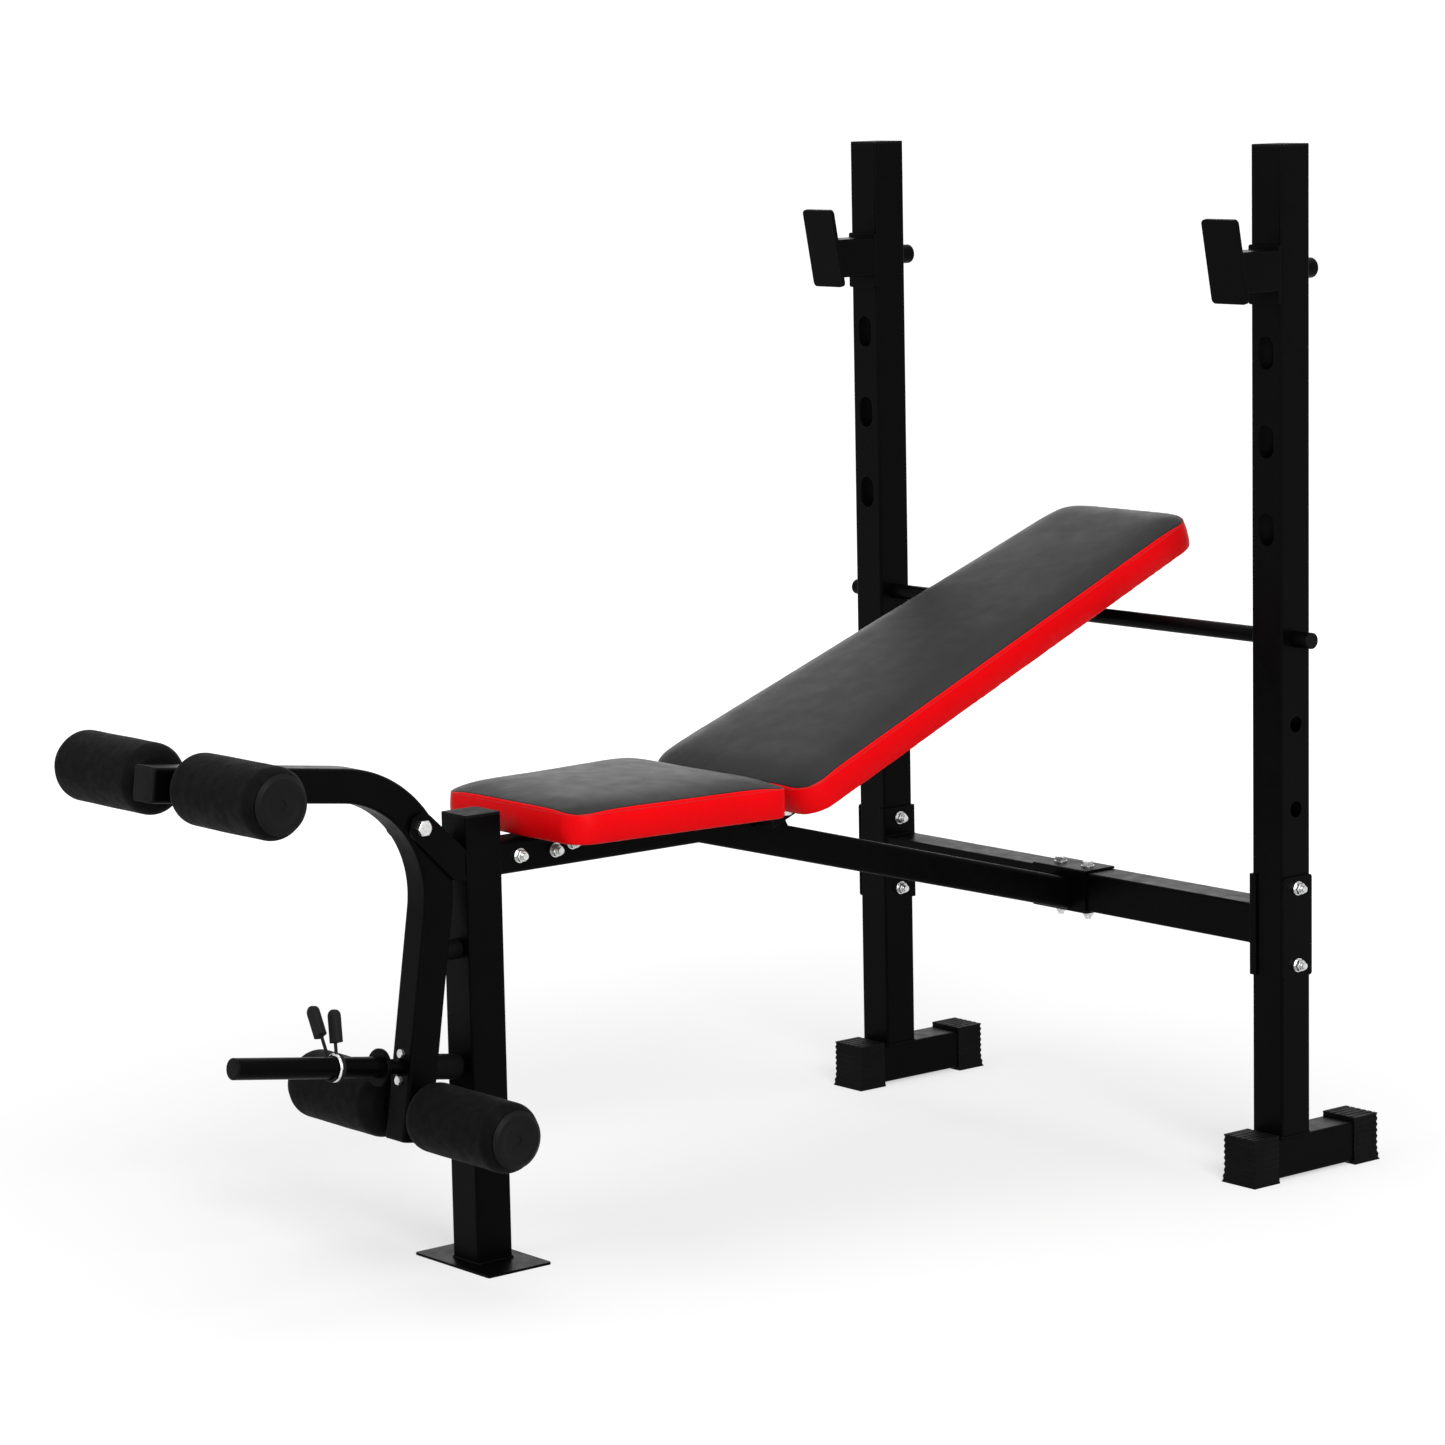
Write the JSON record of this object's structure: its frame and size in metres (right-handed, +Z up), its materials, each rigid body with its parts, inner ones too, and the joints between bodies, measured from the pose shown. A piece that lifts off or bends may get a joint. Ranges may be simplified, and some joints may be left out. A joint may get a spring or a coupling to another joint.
{
  "type": "weight bench with rack and leg lever",
  "caption": "Weight bench with rack uprights, adjustable bar catches, an inclined padded backrest, a padded seat and a hinged leg lever with foam rollers and a plate peg.",
  "frame": {"origin": "on the floor, under the middle of the bounding box", "axes": "+Z up, +Y from the leg lever towards the rack, +X across the bench"},
  "size_m": [0.84, 1.551, 1.272],
  "materials": {
    "powder_coat": "semi-gloss black powder coat",
    "zinc": "bright zinc plating",
    "end_plug": "moulded black plastic with a fine grain",
    "roller_disc": "smooth moulded dark grey plastic",
    "foot_rubber": "ribbed black rubber",
    "foam": "open-pored charcoal foam",
    "board": "bare plywood",
    "upholstery": "matt black leatherette top with a red side band",
    "upholstery_band": "red leatherette side band",
    "chrome_wire": "polished chrome",
    "grip_rubber": "dipped dark rubber on chromed wire"
  },
  "bodies": {
    "frame": {"upright_left": "powder_coat", "upright_right": "powder_coat", "foot_tube_left": "powder_coat", "foot_tube_right": "powder_coat", "crossbeam": "powder_coat", "beam_bracket_left": "powder_coat", "beam_bracket_right": "powder_coat", "outer_plate_left": "powder_coat", "outer_plate_right": "powder_coat", "main_beam": "powder_coat", "beam_saddle": "powder_coat", "beam_stub": "powder_coat", "front_post": "powder_coat", "base_plate": "powder_coat", "pivot_ears": "powder_coat", "seat_angles": "powder_coat", "hinge_bracket": "powder_coat", "frame_bolts": "zinc", "lock_nuts": "zinc", "washers": "zinc", "pivot_bolt": "zinc", "hinge_bolt": "zinc", "seat_screws": "zinc", "upright_cap_left": "end_plug", "upright_cap_right": "end_plug", "post_cap": "end_plug", "foot_cap_front_left": "foot_rubber", "foot_cap_front_right": "foot_rubber", "foot_cap_rear_left": "foot_rubber", "foot_cap_rear_right": "foot_rubber", "rest_stop": "foot_rubber", "seat_board": "board", "seat_pad": "upholstery"},
    "lever": {"lever_tube": "powder_coat", "lever_caps": "end_plug", "weight_peg": "powder_coat", "peg_cap": "end_plug", "peg_bolts": "zinc", "bumper": "foot_rubber", "roller_axle_upper": "powder_coat", "roller_axle_lower": "powder_coat", "roller_caps": "roller_disc"},
    "backrest": {"backrest_frame": "powder_coat", "backrest_frame_caps": "end_plug", "backrest_board": "board", "backrest_pad": "upholstery", "backrest_screws": "zinc"},
    "bar": {"support_bar": "powder_coat", "support_bar_caps": "end_plug"},
    "catch_left": {"catch_hook_left": "powder_coat", "catch_pin_left": "powder_coat"},
    "catch_right": {"catch_hook_right": "powder_coat", "catch_pin_right": "powder_coat"},
    "roller_upper_left": {"foam_roller_upper_left": "foam"},
    "roller_upper_right": {"foam_roller_upper_right": "foam"},
    "roller_lower_left": {"foam_roller_lower_left": "foam"},
    "roller_lower_right": {"foam_roller_lower_right": "foam"},
    "collar": {"collar_coil": "chrome_wire"},
    "grip_front": {"collar_grip_front": "grip_rubber"},
    "grip_rear": {"collar_grip_rear": "grip_rubber"}
  },
  "joints": [
    {"name": "lever_swing", "type": "hinge", "parent": "frame", "child": "lever", "pos_m": [0, -0.41949, 0.527], "axis": [-1, 0, 0], "range_deg": [0, 85]},
    {"name": "backrest_lift", "type": "hinge", "parent": "frame", "child": "backrest", "pos_m": [0, 0.09451, 0.491], "axis": [1, 0, 0], "range_deg": [0, 24]},
    {"name": "bar_slide", "type": "slide", "parent": "frame", "child": "bar", "axis": [1, 0, 0], "range_m": [0, 0.8]},
    {"name": "catch_left_slide", "type": "slide", "parent": "frame", "child": "catch_left", "axis": [0, -1, 0], "range_m": [0, 0.075]},
    {"name": "catch_right_slide", "type": "slide", "parent": "frame", "child": "catch_right", "axis": [0, -1, 0], "range_m": [0, 0.075]},
    {"name": "roller_upper_left_spin", "type": "hinge", "parent": "lever", "child": "roller_upper_left", "pos_m": [0, -0.72951, 0.61174], "axis": [1, 0, 0], "continuous": true},
    {"name": "roller_upper_right_spin", "type": "hinge", "parent": "lever", "child": "roller_upper_right", "pos_m": [0, -0.72951, 0.61174], "axis": [1, 0, 0], "continuous": true},
    {"name": "roller_lower_left_spin", "type": "hinge", "parent": "lever", "child": "roller_lower_left", "pos_m": [0, -0.43015, 0.19556], "axis": [1, 0, 0], "continuous": true},
    {"name": "roller_lower_right_spin", "type": "hinge", "parent": "lever", "child": "roller_lower_right", "pos_m": [0, -0.43015, 0.19556], "axis": [1, 0, 0], "continuous": true},
    {"name": "collar_slide", "type": "slide", "parent": "lever", "child": "collar", "axis": [0, -0.989, 0.1478], "range_m": [-0.05, 0.12]},
    {"name": "grip_front_squeeze", "type": "hinge", "parent": "collar", "child": "grip_front", "pos_m": [0, -0.53451, 0.26172], "axis": [0, 0.989, -0.1478], "range_deg": [0, 9]},
    {"name": "grip_rear_squeeze", "type": "hinge", "parent": "collar", "child": "grip_rear", "pos_m": [0, -0.53451, 0.26172], "axis": [0, -0.989, 0.1478], "range_deg": [0, 9]}
  ],
  "couplings": [
    {"joint": "grip_rear_squeeze", "follows": "grip_front_squeeze", "ratio": 1}
  ]
}
